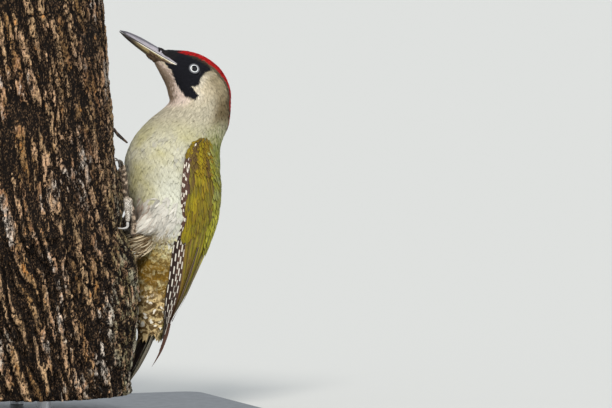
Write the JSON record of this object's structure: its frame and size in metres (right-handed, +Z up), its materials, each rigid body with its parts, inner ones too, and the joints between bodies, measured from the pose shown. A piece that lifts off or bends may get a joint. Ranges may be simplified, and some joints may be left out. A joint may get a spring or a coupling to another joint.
{
  "type": "green woodpecker",
  "caption": "Life-size still model of a female green woodpecker that clings to a cut length of trunk, held by a flat base with short rods.",
  "frame": {"origin": "middle of the underside of the stand's base plate", "axes": "+Z up along the trunk, +X from the trunk towards the bird's back, +Y towards the bird's right side"},
  "size_m": [0.26, 0.18, 0.313],
  "materials": {
    "grey_plumage": "short soft feathers, grey cheeks, black mask, red crown",
    "pale_plumage": "soft pale yellowish-green feathers, barred towards the tail",
    "olive_plumage": "olive-green coverts and dark flight feathers spotted with white",
    "tail_plumage": "stiff dark-brown tail feathers with pale edges",
    "bill_horn": "satin slate-grey horn, paler below",
    "claw_horn": "satin dark-grey horn",
    "eye": "glossy, black pupil in a white iris",
    "foot_skin": "matt grey scaly skin",
    "bark": "rough furrowed bark with moss and lichen",
    "stand_black": "black satin lacquer on wood",
    "stand_steel": "brushed"
  },
  "bodies": {
    "root": {"head": "grey_plumage", "neck": "grey_plumage", "torso": "pale_plumage", "rump": "pale_plumage", "thigh_left": "pale_plumage", "thigh_right": "pale_plumage", "wing_left": "olive_plumage", "wing_right": "olive_plumage", "tail": "tail_plumage", "bill_upper": "bill_horn", "bill_lower": "bill_horn", "eye_left": "eye", "eye_right": "eye", "leg_left": "foot_skin", "leg_right": "foot_skin", "claw_inner_left": "claw_horn", "claw_middle_left": "claw_horn", "claw_outer_left": "claw_horn", "claw_hind_left": "claw_horn", "claw_inner_right": "claw_horn", "claw_middle_right": "claw_horn", "claw_outer_right": "claw_horn", "claw_hind_right": "claw_horn", "perch_log": "bark", "perch_splinter": "bark", "stand_base": "stand_black", "stand_rod_1": "stand_steel", "stand_rod_2": "stand_steel"}
  },
  "joints": []
}
